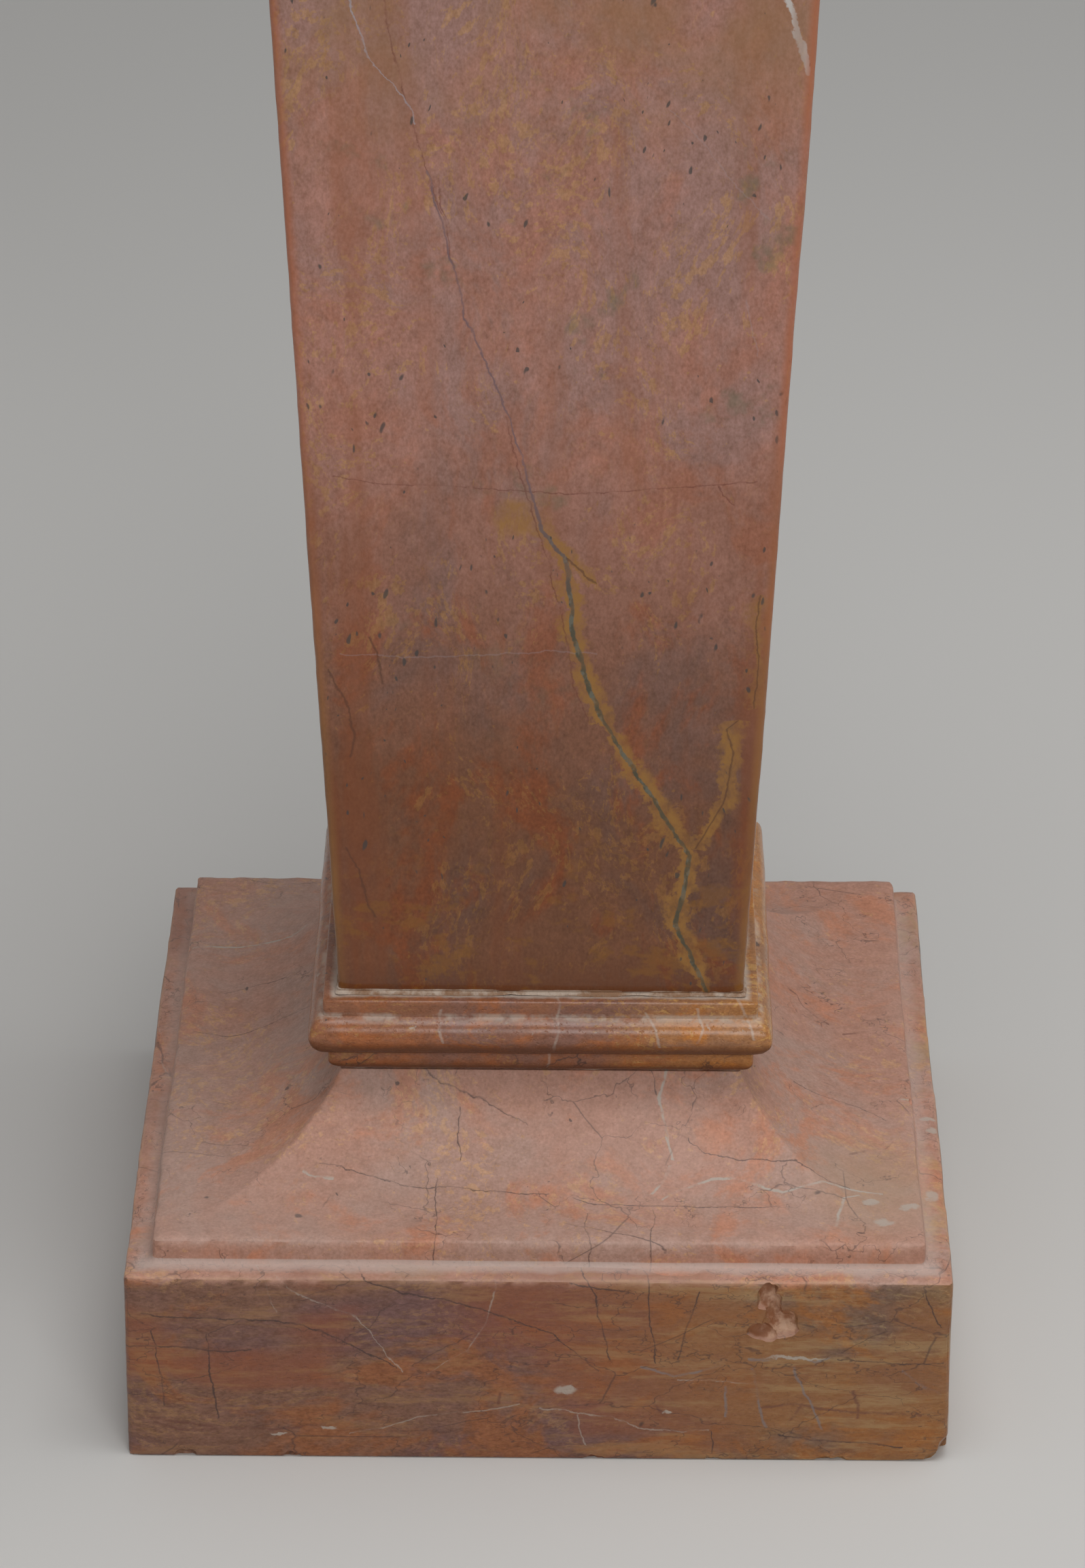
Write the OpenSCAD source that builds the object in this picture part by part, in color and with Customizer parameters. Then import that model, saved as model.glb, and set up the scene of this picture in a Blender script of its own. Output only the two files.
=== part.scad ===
// Square marble column, wider at the top than at the foot. It stands on a
// swept plinth block and a moulded foot stone, and carries the same moulding
// turned over, with a smaller swept block as its cap. Every stone is bedded
// on a thin plaster joint. Millimetres, +Z up, origin at the middle of the
// plinth's underside.

/* [Plinth block] */
// Width and depth of the plinth's square base
plinth_w = 450; // [420:5:560]
// Height of the base up to its ledge
plinth_base_h = 115; // [70:1:180]
// Width of the ledge around the foot of the riser
plinth_ledge = 15; // [6:1:25]
// Height of the riser above the ledge
plinth_riser_h = 15; // [6:1:30]
// Flat margin on top of the riser, before the sweep begins
plinth_margin = 22; // [5:1:30]
// Rise of the hollow sweep from the margin to the neck
plinth_rise = 50; // [30:1:60]

/* [Shaft] */
// Width of the shaft at its foot
shaft_foot_w = 223; // [190:1:250]
// Width of the shaft at its top
shaft_top_w = 300; // [240:1:320]
// Height of the shaft
shaft_h = 830; // [500:5:1000]

/* [Moulding stones] */
// How far the fillet next to the shaft stands out from it
fillet_out = 8; // [5:1:11]
// Height of the fillet next to the shaft
fillet_h = 9; // [5:1:15]
// How far the round torus stands out from the shaft
torus_out = 16; // [13:1:19]
// Radius of the torus, half of its height
torus_r = 12; // [10:1:15]
// How far the outer fillet stands out from the shaft
outer_out = 6; // [4:1:9]
// Height of the outer fillet, with its rounded edge
outer_h = 13; // [9:1:18]
// Radius of the outer fillet's rounded edge
outer_round = 7; // [4:1:9]

/* [Cap block] */
// Width and depth of the cap's square slab
cap_w = 390; // [370:5:440]
// Height of the slab
cap_slab_h = 48; // [30:1:70]
// Width of the ledge around the cap's riser
cap_ledge = 8; // [4:1:12]
// Height of the cap's riser
cap_riser_h = 8; // [4:1:16]
// Flat margin under the riser, before the sweep begins
cap_margin = 6; // [3:1:8]
// Rise of the hollow sweep from the neck to the margin
cap_rise = 24; // [16:1:26]

/* [Plaster joints] */
// Thickness of each bed of plaster
joint_t = 2; // [1:0.5:4]
// How far the plaster stays back from the edge of the narrower stone
joint_set_in = 1.5; // [0.5:0.5:4]

/* [Hidden] */
$fn = 96;

overlap = 1;  // runs a cutting outline past the face that it cuts

moulding_h = outer_h + 2 * torus_r + fillet_h;
plinth_neck_w = bearing_w(shaft_foot_w);
cap_neck_w = bearing_w(shaft_top_w);

plinth_h = plinth_base_h + plinth_riser_h + plinth_rise;
foot_z = plinth_h + joint_t;
shaft_z = foot_z + moulding_h + joint_t;
head_z = shaft_z + shaft_h + joint_t;
cap_z = head_z + moulding_h + joint_t;
cap_h = cap_slab_h + cap_riser_h + cap_rise;

// Width of a moulding stone where it bears on the plinth or carries the cap
function bearing_w(shaft_w) = shaft_w + 2 * (outer_out - outer_round);

// Radius of an arc that leaves a level line and rises by `rise` over `run`
function sweep_r(run, rise) = (run * run + rise * rise) / (2 * rise);

// A stone that has the same outline on all four sides: only what lies within
// the outline seen from the front and from the side is kept
module square_stone(depth) {
    intersection() {
        rotate([90, 0, 0])
            linear_extrude(height = depth, center = true)
                children();
        rotate([90, 0, 90])
            linear_extrude(height = depth, center = true)
                children();
    }
}

// A rectangle of the outline, standing on z0 and centred on the axis
module band(w, z0, h) {
    translate([-w / 2, z0])
        square([w, h]);
}

// Base, ledge, riser and hollow sweep up to the neck, standing on z = 0
module swept_outline(w, base_h, ledge, riser_h, margin, rise, neck_w) {
    riser_w = w - 2 * ledge;
    riser_top = base_h + riser_h;
    foot_x = riser_w / 2 - margin;
    r = sweep_r(foot_x - neck_w / 2, rise);
    band(w, 0, base_h);
    band(riser_w, 0, riser_top);
    difference() {
        band(2 * foot_x, riser_top - overlap, rise + overlap);
        for (side = [-1, 1])
            translate([side * foot_x, riser_top + r])
                circle(r);
    }
}

// Moulding for a shaft of the given width, with its outer fillet on z = 0
module moulding_outline(shaft_w) {
    outer_w = shaft_w + 2 * outer_out;
    torus_x = shaft_w / 2 + torus_out - torus_r;
    torus_z = outer_h + torus_r;
    band(outer_w - 2 * outer_round, 0, outer_h);
    band(outer_w, outer_round, outer_h - outer_round);
    for (side = [-1, 1])
        translate([side * (outer_w / 2 - outer_round), outer_round])
            circle(outer_round);
    band(2 * torus_x, outer_h, 2 * torus_r);
    for (side = [-1, 1])
        translate([side * torus_x, torus_z])
            circle(torus_r);
    band(shaft_w + 2 * fillet_out, outer_h + 2 * torus_r, fillet_h);
}

// Bed of plaster on z = 0, for two stones of which the narrower is w wide
module joint_bed(w) {
    bed_w = w - 2 * joint_set_in;
    translate([-bed_w / 2, -bed_w / 2, 0])
        cube([bed_w, bed_w, joint_t]);
}

module plinth_block() {
    color([0.66, 0.42, 0.31])
        square_stone(plinth_w)
            swept_outline(plinth_w, plinth_base_h, plinth_ledge, plinth_riser_h,
                          plinth_margin, plinth_rise, plinth_neck_w);
}

module plinth_joint() {
    color([0.85, 0.81, 0.74])
        translate([0, 0, plinth_h])
            joint_bed(plinth_neck_w);
}

module foot_moulding() {
    color([0.62, 0.33, 0.16])
        translate([0, 0, foot_z])
            square_stone(shaft_foot_w + 2 * torus_out)
                moulding_outline(shaft_foot_w);
}

module foot_joint() {
    color([0.85, 0.81, 0.74])
        translate([0, 0, foot_z + moulding_h])
            joint_bed(shaft_foot_w);
}

module shaft() {
    foot_x = shaft_foot_w / 2;
    top_x = shaft_top_w / 2;
    color([0.55, 0.36, 0.30])
        translate([0, 0, shaft_z])
            square_stone(max(shaft_foot_w, shaft_top_w))
                polygon([[-foot_x, 0], [foot_x, 0], [top_x, shaft_h], [-top_x, shaft_h]]);
}

module head_joint() {
    color([0.85, 0.81, 0.74])
        translate([0, 0, shaft_z + shaft_h])
            joint_bed(shaft_top_w);
}

module head_moulding() {
    color([0.62, 0.33, 0.16])
        translate([0, 0, head_z + moulding_h])
            mirror([0, 0, 1])
                square_stone(shaft_top_w + 2 * torus_out)
                    moulding_outline(shaft_top_w);
}

module cap_joint() {
    color([0.85, 0.81, 0.74])
        translate([0, 0, head_z + moulding_h])
            joint_bed(cap_neck_w);
}

module cap_block() {
    color([0.64, 0.42, 0.33])
        translate([0, 0, cap_z + cap_h])
            mirror([0, 0, 1])
                square_stone(cap_w)
                    swept_outline(cap_w, cap_slab_h, cap_ledge, cap_riser_h,
                                  cap_margin, cap_rise, cap_neck_w);
}

plinth_block();
plinth_joint();
foot_moulding();
foot_joint();
shaft();
head_joint();
head_moulding();
cap_joint();
cap_block();
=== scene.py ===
import math
import random
from functools import partial, reduce
import bpy
from mathutils import Euler, Matrix, Vector


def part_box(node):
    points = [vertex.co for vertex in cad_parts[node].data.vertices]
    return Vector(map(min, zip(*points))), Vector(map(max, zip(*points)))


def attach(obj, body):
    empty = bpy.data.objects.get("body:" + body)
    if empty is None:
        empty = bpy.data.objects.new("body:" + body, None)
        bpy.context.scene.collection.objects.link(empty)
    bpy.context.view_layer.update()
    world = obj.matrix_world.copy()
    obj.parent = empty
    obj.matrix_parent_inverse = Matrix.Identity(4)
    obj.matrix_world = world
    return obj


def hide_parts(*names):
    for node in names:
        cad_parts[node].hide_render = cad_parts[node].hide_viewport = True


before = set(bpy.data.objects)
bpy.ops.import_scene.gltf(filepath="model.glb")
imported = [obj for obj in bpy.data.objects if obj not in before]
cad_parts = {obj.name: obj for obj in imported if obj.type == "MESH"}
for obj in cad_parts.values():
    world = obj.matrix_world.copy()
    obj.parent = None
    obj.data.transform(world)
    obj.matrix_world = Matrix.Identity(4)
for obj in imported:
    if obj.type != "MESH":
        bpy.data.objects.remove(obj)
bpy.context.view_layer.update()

# Metres, +Z up, the plinth's underside on z = 0, the front face towards -Y


def startFresh():
    if bpy.context.object and bpy.context.object.mode != "OBJECT":
        bpy.ops.object.mode_set(mode="OBJECT")
    bpy.ops.object.select_all(action="DESELECT")


def pick(piece):
    startFresh()
    piece.select_set(True)
    bpy.context.view_layer.objects.active = piece


def applyPlace(piece):
    pick(piece)
    bpy.ops.object.transform_apply(location=True, rotation=True, scale=True)


def applyModifiers(piece):
    pick(piece)
    for modifier in list(piece.modifiers):
        bpy.ops.object.modifier_apply(modifier=modifier.name)


def arcRows(centre, radius, fromDeg, toDeg, steps):
    # rows of (half width, height) round an arc, without its first point
    rows = []
    for step in range(1, steps + 1):
        angle = math.radians(fromDeg + (toDeg - fromDeg) * step / steps)
        rows.append((centre[0] + radius * math.cos(angle), centre[1] + radius * math.sin(angle)))
    return rows


def straightRows(start, end, spacing):
    # evenly spaced rows along a straight stretch, without its first point
    length = math.hypot(end[0] - start[0], end[1] - start[1])
    steps = max(1, round(length / spacing))
    return [(start[0] + (end[0] - start[0]) * step / steps,
             start[1] + (end[1] - start[1]) * step / steps) for step in range(1, steps + 1)]


def trace(start, *moves):
    # a straight move is (end, spacing), an arc is (centre, radius, fromDeg, toDeg, steps)
    rows = [start]
    for move in moves:
        rows += straightRows(rows[-1], *move) if len(move) == 2 else arcRows(*move)
    return rows


def squareStone(name, outline, cornerRadius, cutsAlong):
    # a square with rounded corners, extruded and scaled row by row up the outline
    startFresh()
    half, height = outline[0]
    bpy.ops.mesh.primitive_plane_add(size=2 * half, location=(0, 0, height))
    piece = bpy.context.object
    piece.name = name
    piece.data.name = name
    bpy.ops.object.transform_apply(location=True, rotation=True, scale=True)
    bpy.ops.object.mode_set(mode="EDIT")
    bpy.ops.mesh.select_mode(type="VERT")
    bpy.ops.mesh.select_all(action="SELECT")
    bpy.ops.mesh.bevel(offset=cornerRadius, segments=4, affect="VERTICES", offset_type="OFFSET")
    bpy.ops.mesh.select_all(action="SELECT")
    bpy.ops.mesh.select_mode(type="FACE")
    for nextHalf, nextHeight in outline[1:]:
        bpy.ops.mesh.extrude_region_move(
            TRANSFORM_OT_translate={"value": (0, 0, nextHeight - height)})
        share = nextHalf / half
        bpy.ops.transform.resize(value=(share, share, 1), center_override=(0, 0, nextHeight))
        half, height = nextHalf, nextHeight
    bpy.ops.object.mode_set(mode="OBJECT")
    cutLongEdges(piece, cutsAlong)
    return piece


def cutLongEdges(piece, cutsAlong):
    # the level edges that run along the four sides get evenly spaced cuts
    mesh = piece.data
    pick(piece)
    bpy.ops.object.mode_set(mode="EDIT")
    bpy.ops.mesh.select_mode(type="EDGE")
    bpy.ops.mesh.select_all(action="DESELECT")
    bpy.ops.object.mode_set(mode="OBJECT")
    for edge in mesh.edges:
        first, second = (mesh.vertices[index].co for index in edge.vertices)
        run = max(abs(first.x - second.x), abs(first.y - second.y))
        reach = max(abs(first.x), abs(first.y))
        edge.select = abs(first.z - second.z) < 1e-5 and run > reach
    bpy.ops.object.mode_set(mode="EDIT")
    bpy.ops.mesh.subdivide(number_cuts=cutsAlong)
    bpy.ops.mesh.select_all(action="SELECT")
    bpy.ops.mesh.normals_make_consistent(inside=False)
    bpy.ops.object.mode_set(mode="OBJECT")


def outward(co):
    return max(abs(co.x), abs(co.y))


def fromCorner(co):
    # 0 on the upright corners of a square stone
    return outward(co) - min(abs(co.x), abs(co.y))


def weightGroup(piece, name, weigh):
    # a vertex group whose weight is worked out from each vertex's place
    group = piece.vertex_groups.new(name=name)
    for vertex in piece.data.vertices:
        weight = max(0.0, min(1.0, weigh(vertex.co)))
        if weight > 0:
            group.add([vertex.index], weight, "REPLACE")
    return name


def roughen(piece, textureName, size, strength, midLevel=0.5, group="", depth=2):
    # moves the surface in and out by a cloud texture
    texture = bpy.data.textures.new(textureName, "CLOUDS")
    texture.noise_scale = size
    texture.noise_depth = depth
    modifier = piece.modifiers.new(textureName, "DISPLACE")
    modifier.texture = texture
    modifier.texture_coords = "LOCAL"
    modifier.strength = strength
    modifier.mid_level = midLevel
    modifier.vertex_group = group
    applyModifiers(piece)


def wear(piece, sides, edges, cut, worn, wornLevel=0.95):
    # slow unevenness over the sides and rubbed arrises; cut and worn are (size, strength)
    weightGroup(piece, "sides", sides)
    weightGroup(piece, "edges", edges)
    roughen(piece, "handCut", *cut, group="sides")
    roughen(piece, "wornEdge", *worn, midLevel=wornLevel, group="edges")


def rock(place, size, seed, squash=(1, 1, 1)):
    # one rough lump, used to break stone away
    startFresh()
    bpy.ops.mesh.primitive_ico_sphere_add(subdivisions=3, radius=size, location=(0, 0, 0))
    lump = bpy.context.object
    turn = random.Random(seed)
    lump.rotation_euler = [turn.uniform(0, math.tau) for axis in range(3)]
    applyPlace(lump)
    lump.scale = squash
    lump.location = place
    applyPlace(lump)
    roughen(lump, "rockFace", size * 0.9, size * 0.9, depth=1)
    return lump


def breakAway(piece, lumps):
    # cuts the joined lumps out of the stone
    startFresh()
    for lump in lumps:
        lump.select_set(True)
    bpy.context.view_layer.objects.active = lumps[0]
    if len(lumps) > 1:
        bpy.ops.object.join()
    cutter = bpy.context.object
    modifier = piece.modifiers.new("breakAway", "BOOLEAN")
    modifier.operation = "DIFFERENCE"
    modifier.solver = "EXACT"
    modifier.use_self = True
    modifier.object = cutter
    applyModifiers(piece)
    bpy.data.objects.remove(cutter, do_unlink=True)


def finishStone(piece, node, smoothDeg):
    pick(piece)
    bpy.ops.object.mode_set(mode="EDIT")
    bpy.ops.mesh.select_all(action="SELECT")
    bpy.ops.mesh.remove_doubles(threshold=1e-5)
    bpy.ops.mesh.normals_make_consistent(inside=False)
    bpy.ops.object.mode_set(mode="OBJECT")
    bpy.ops.object.shade_smooth_by_angle(angle=math.radians(smoothDeg))
    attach(piece, "root")
    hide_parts(node)
    print("finished", piece.name, len(piece.data.vertices), "vertices")


view = {
    "place": (0.0200, -2.9614, 1.8172),
    "downDeg": 27.11,
    "leftDeg": 0.392,
    "rollDeg": 0.224,
    "lens": 136.44,
}


def placeCamera():
    cameraData = bpy.data.cameras.new("camera")
    cameraData.lens = view["lens"]
    cameraData.sensor_width = 36
    cameraData.clip_end = 50
    camera = bpy.data.objects.new("camera", cameraData)
    bpy.context.scene.collection.objects.link(camera)
    camera.location = view["place"]
    aim = Euler((math.radians(90 - view["downDeg"]), 0, math.radians(view["leftDeg"])))
    turned = aim.to_matrix() @ Matrix.Rotation(math.radians(view["rollDeg"]), 3, "Z")
    camera.rotation_euler = turned.to_euler()
    bpy.context.scene.camera = camera


def areaLamp(name, place, aimAt, size, power, tint=(1, 1, 1)):
    lampData = bpy.data.lights.new(name, "AREA")
    lampData.shape = "RECTANGLE"
    lampData.size, lampData.size_y = size
    lampData.energy = power
    lampData.color = tint
    lamp = bpy.data.objects.new(name, lampData)
    bpy.context.scene.collection.objects.link(lamp)
    lamp.location = place
    lamp.rotation_euler = (Vector(aimAt) - Vector(place)).to_track_quat("-Z", "Y").to_euler()


def lightStudio():
    world = bpy.data.worlds.new("studio")
    bpy.context.scene.world = world
    world.use_nodes = True
    nodes, links = world.node_tree.nodes, world.node_tree.links
    nodes.clear()
    output = nodes.new("ShaderNodeOutputWorld")
    lit = nodes.new("ShaderNodeBackground")
    lit.inputs["Color"].default_value = (1, 1, 1, 1)
    lit.inputs["Strength"].default_value = 0.29
    seen = nodes.new("ShaderNodeBackground")
    seen.inputs["Color"].default_value = (0.80, 0.79, 0.77, 1)
    seen.inputs["Strength"].default_value = 1.0
    path = nodes.new("ShaderNodeLightPath")
    mix = nodes.new("ShaderNodeMixShader")
    links.new(path.outputs["Is Camera Ray"], mix.inputs["Fac"])
    links.new(lit.outputs[0], mix.inputs[1])
    links.new(seen.outputs[0], mix.inputs[2])
    links.new(mix.outputs[0], output.inputs["Surface"])
    areaLamp("overheadSoftbox", (0.35, -0.55, 3.1), (0.0, -0.05, 0.2), (1.9, 1.5), 40)
    areaLamp("frontSoftbox", (0.6, -3.2, 2.3), (0.0, 0.0, 0.5), (1.6, 1.2), 31)
    areaLamp("rightFill", (3.0, 0.2, 1.6), (0.0, 0.0, 0.3), (1.6, 1.6), 7)
    bpy.context.scene.view_settings.view_transform = "Standard"


def layFloor():
    startFresh()
    bpy.ops.mesh.primitive_plane_add(size=24, location=(0, 0, 0))
    floor = bpy.context.object
    floor.name = "studioFloor"
    bpy.ops.object.mode_set(mode="EDIT")
    bpy.ops.mesh.subdivide(number_cuts=3)
    bpy.ops.object.mode_set(mode="OBJECT")
    material = bpy.data.materials.new("paleFloor")
    material.use_nodes = True
    shader = material.node_tree.nodes["Principled BSDF"]
    shader.inputs["Base Color"].default_value = (0.66, 0.65, 0.63, 1)
    shader.inputs["Roughness"].default_value = 0.9
    shader.inputs["Specular IOR Level"].default_value = 0.2
    floor.data.materials.append(material)


placeCamera()
lightStudio()
layFloor()
print("camera, lamps and floor are in place")


def tone(red, green, blue):
    # a colour as a painter mixes it on the screen, made linear
    def linear(value):
        value = value / 255
        return value / 12.92 if value <= 0.04045 else ((value + 0.055) / 1.055) ** 2.4
    return (linear(red), linear(green), linear(blue), 1)


def feed(socket, source):
    if isinstance(source, bpy.types.NodeSocket):
        socket.id_data.links.new(source, socket)
    elif source is not None:
        socket.default_value = source


def addNode(kind, *sources, **settings):
    # adds a node beside the nodes that its sources come from, and feeds its inputs by name
    given = sources + tuple(settings.values())
    tree = next(source.id_data for source in given if isinstance(source, bpy.types.NodeSocket))
    node = tree.nodes.new(kind)
    for name, source in settings.items():
        feed(node.inputs[name], source)
    return node


def calc(operation, *sources, clamp=False):
    node = addNode("ShaderNodeMath", *sources)
    node.operation = operation
    node.use_clamp = clamp
    for socket, source in zip(node.inputs, sources):
        feed(socket, source)
    return node.outputs[0]


def times(*factors):
    return reduce(partial(calc, "MULTIPLY"), factors)


def plus(*terms):
    return reduce(partial(calc, "ADD"), terms)


def largest(*values):
    return reduce(partial(calc, "MAXIMUM"), values)


minus = partial(calc, "SUBTRACT")
absolute = partial(calc, "ABSOLUTE")
timesPlus = partial(calc, "MULTIPLY_ADD")


def vectorCalc(operation, first, second):
    node = addNode("ShaderNodeVectorMath", first, second)
    node.operation = operation
    feed(node.inputs[0], first)
    feed(node.inputs[1], second)
    return node.outputs["Value"] if operation in ("LENGTH", "DOT_PRODUCT") else node.outputs["Vector"]


def blend(share, low, high, mode="MIX"):
    node = addNode("ShaderNodeMix", share, low, high)
    node.data_type = "RGBA"
    node.blend_type = mode
    feed(node.inputs["Factor"], share)
    feed(node.inputs[6], low)
    feed(node.inputs[7], high)
    return node.outputs[2]


def between(value, low, high, toLow=0.0, toHigh=1.0, rise="SMOOTHSTEP"):
    # a smooth step stops at its ends by itself, a linear one runs on past them
    settings = {"Value": value, "From Min": low, "From Max": high, "To Min": toLow, "To Max": toHigh}
    node = addNode("ShaderNodeMapRange", **settings)
    node.interpolation_type = rise
    node.clamp = False
    return node.outputs["Result"]


def cloud(vector, scale, detail=4.0, roughness=0.55):
    return addNode("ShaderNodeTexNoise", Vector=vector, Scale=scale, Detail=detail,
                   Roughness=roughness).outputs["Fac"]


def stretched(vector, scale, place=(0, 0, 0)):
    return addNode("ShaderNodeMapping", Vector=vector, Scale=scale, Location=place).outputs["Vector"]


def split(vector):
    return addNode("ShaderNodeSeparateXYZ", Vector=vector).outputs[:]


def joined(x, y, z):
    return addNode("ShaderNodeCombineXYZ", X=x, Y=y, Z=z).outputs[0]


def newGroup(name, inputs, outputs):
    # sockets that are neither a vector nor a colour hold a value
    vectors = ("Vector", "Centre", "Half Size", "Seed")
    colours = ("Ground", "Shade", "Patch", "Fleck", "Color")
    tree = bpy.data.node_groups.new(name, "ShaderNodeTree")
    for way, labels in (("INPUT", inputs), ("OUTPUT", outputs)):
        for label in labels.split(", "):
            kind = "Vector" if label in vectors else "Color" if label in colours else "Float"
            tree.interface.new_socket(label, in_out=way, socket_type="NodeSocket" + kind)
    return tree.nodes.new("NodeGroupInput").outputs, tree.nodes.new("NodeGroupOutput").inputs


def use(name, **sources):
    # places a shared group; its inputs are named with the spaces left out
    node = addNode("ShaderNodeGroup", *sources.values())
    node.node_tree = bpy.data.node_groups[name]
    for socket in node.inputs:
        if socket.name.replace(" ", "") in sources:
            feed(socket, sources[socket.name.replace(" ", "")])
    return node.outputs


def makeSquarePlan():
    # how far out a point of a square stone lies, how far along its side, and how near an upright arris
    given, result = newGroup("squarePlan", "Vector", "Outer, To Corner, Along")
    x, y = split(given["Vector"])[:2]
    absX, absY = absolute(x), absolute(y)
    outer = largest(absX, absY)
    inner = calc("MINIMUM", absX, absY)
    onEnd = calc("GREATER_THAN", absX, absY)
    along = plus(times(y, onEnd), times(x, minus(1.0, onEnd)))
    feed(result["Outer"], outer)
    feed(result["To Corner"], minus(outer, inner))
    feed(result["Along"], along)


def drifting(vector, drift):
    return vectorCalc("ADD", vector, joined(drift, times(drift, -1.0), drift))


def makeMarbleGround():
    # clouded ground, warm patches, ochre flecks and veinlets, and a fine grain
    given, result = newGroup("marbleGround", "Vector, Size, Ground, Shade, Patch, Fleck, "
                             "Patch Amount, Fleck Amount, Grain", "Color, Mottle")
    vector = vectorCalc("SCALE", given["Vector"], None)
    feed(vector.node.inputs["Scale"], given["Size"])
    drift = times(cloud(vector, 11.0, 1.0), 0.09)
    warped = drifting(vector, drift)
    clouds = cloud(warped, 9.0, 5.0, 0.64)
    colour = blend(between(clouds, 0.43, 0.58), given["Ground"], given["Shade"])
    patches = cloud(stretched(warped, (1, 1, 0.8), (3, 1, 7)), 17.0, 5.0, 0.70)
    patchShare = times(between(patches, 0.49, 0.62), given["Patch Amount"])
    colour = blend(patchShare, colour, given["Patch"])
    speckle = cloud(stretched(warped, (1, 1, 1), (9, 2, 4)), 170.0, 3.0, 0.66)
    cluster = between(cloud(stretched(warped, (1, 1, 1), (2, 8, 5)), 14.0, 3.0, 0.65), 0.42, 0.62)
    fleckEdge = minus(0.67, times(cluster, 0.15))
    flecks = between(speckle, fleckEdge, plus(fleckEdge, 0.05))
    colour = blend(times(flecks, given["Fleck Amount"]), colour, given["Fleck"])
    # veinlets follow the middle level of one more cloud
    level = absolute(minus(cloud(warped, 21.0, 5.0, 0.6), 0.5))
    veinlets = times(between(level, 0.0, 0.009, 1.0, 0.0), between(cluster, 0.1, 0.9, 0.2, 0.9))
    colour = blend(times(veinlets, given["Fleck Amount"]), colour, given["Fleck"])
    mottle = cloud(vector, 120.0, 3.0, 0.7)
    grain = cloud(vector, 560.0, 1.0, 0.7)
    level = plus(times(minus(mottle, 0.5), 1.3), times(minus(grain, 0.5), 1.2))
    level = times(level, given["Grain"])
    shade = joined(timesPlus(level, 0.85, 1.0), plus(level, 1.0), timesPlus(level, 1.2, 1.0))
    colour = blend(1.0, colour, shade, "MULTIPLY")
    feed(result["Color"], colour)
    feed(result["Mottle"], mottle)


def makeSpecks():
    # small dark grains, long in a changing direction, gathered in clusters
    given, result = newGroup("specks", "Vector, Scale, Amount", "Mask")
    twist = times(cloud(given["Vector"], 90.0, 1.0), 0.012)
    shifted = drifting(given["Vector"], twist)
    cells = addNode("ShaderNodeTexVoronoi", Vector=shifted, Scale=given["Scale"])
    chance, length = split(cells.outputs["Color"])[:2]
    gathered = between(cloud(given["Vector"], 11.0, 2.0), 0.38, 0.62)
    keep = calc("LESS_THAN", chance, times(given["Amount"], gathered))
    reach = plus(0.06, times(calc("POWER", length, 2.0), 0.20))
    inside = between(cells.outputs["Distance"], times(reach, 0.55), reach, 1.0, 0.0)
    feed(result["Mask"], times(keep, inside))


def makeCrackNet():
    # a broken net of hairlines
    given, result = newGroup("crackNet", "Vector, Scale, Width, Amount, Seed", "Mask")
    moved = vectorCalc("ADD", given["Vector"], given["Seed"])
    drift = times(cloud(moved, 26.0, 4.0, 0.62), 0.07)
    cells = addNode("ShaderNodeTexVoronoi", Vector=drifting(moved, drift), Scale=given["Scale"])
    cells.feature = "DISTANCE_TO_EDGE"
    line = between(cells.outputs["Distance"], 0.0, given["Width"], 1.0, 0.0)
    broken = cloud(moved, 15.0, 2.0, 0.6)
    edge = minus(0.72, times(given["Amount"], 0.35))
    feed(result["Mask"], times(line, between(broken, edge, plus(edge, 0.06))))


def makeVeinParts():
    # a vein's route is one curve node; these two groups put it in place and give it its width
    given, result = newGroup("veinShare", "Along, Start, End", "Share")
    feed(result["Share"], between(given["Along"], given["Start"], given["End"], rise="LINEAR"))
    given, result = newGroup("veinLine", "Across, Curve, Low, High, Share, Slant, Width, Soft", "Mask, Gap")
    place = between(given["Curve"], 0.0, 1.0, given["Low"], given["High"], "LINEAR")
    gap = absolute(minus(given["Across"], place))
    pastEnd = between(absolute(minus(given["Share"], 0.5)), 0.45, 0.50, 0.0, 0.04)
    gap = timesPlus(gap, given["Slant"], pastEnd)
    edge = plus(given["Width"], given["Soft"])
    feed(result["Mask"], between(gap, given["Width"], edge, 1.0, 0.0))
    feed(result["Gap"], gap)


def makeSpot():
    # a soft-edged oval
    given, result = newGroup("spot", "Vector, Centre, Half Size, Edge", "Mask")
    away = vectorCalc("DIVIDE", vectorCalc("SUBTRACT", given["Vector"], given["Centre"]),
                      given["Half Size"])
    distance = vectorCalc("LENGTH", away, None)
    feed(result["Mask"], between(distance, minus(1.0, given["Edge"]), 1.0, 1.0, 0.0))


def makeSurfaceGrain():
    # fine pits and polishing scratches, as a height
    given, result = newGroup("surfaceGrain", "Vector, Pits, Scratches", "Height, Wear")
    pits = between(cloud(given["Vector"], 420.0, 2.0, 0.7), 0.60, 0.72, 0.0, -1.0)
    scratches = cloud(stretched(given["Vector"], (700, 700, 30)), 1.0, 1.0)
    height = plus(times(pits, given["Pits"]), times(scratches, given["Scratches"]))
    feed(result["Height"], height)
    feed(result["Wear"], scratches)


for makeGroup in (makeSquarePlan, makeMarbleGround, makeSpecks, makeCrackNet, makeVeinParts, makeSpot,
                  makeSurfaceGrain):
    makeGroup()
print("shared shader groups are made")


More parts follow.
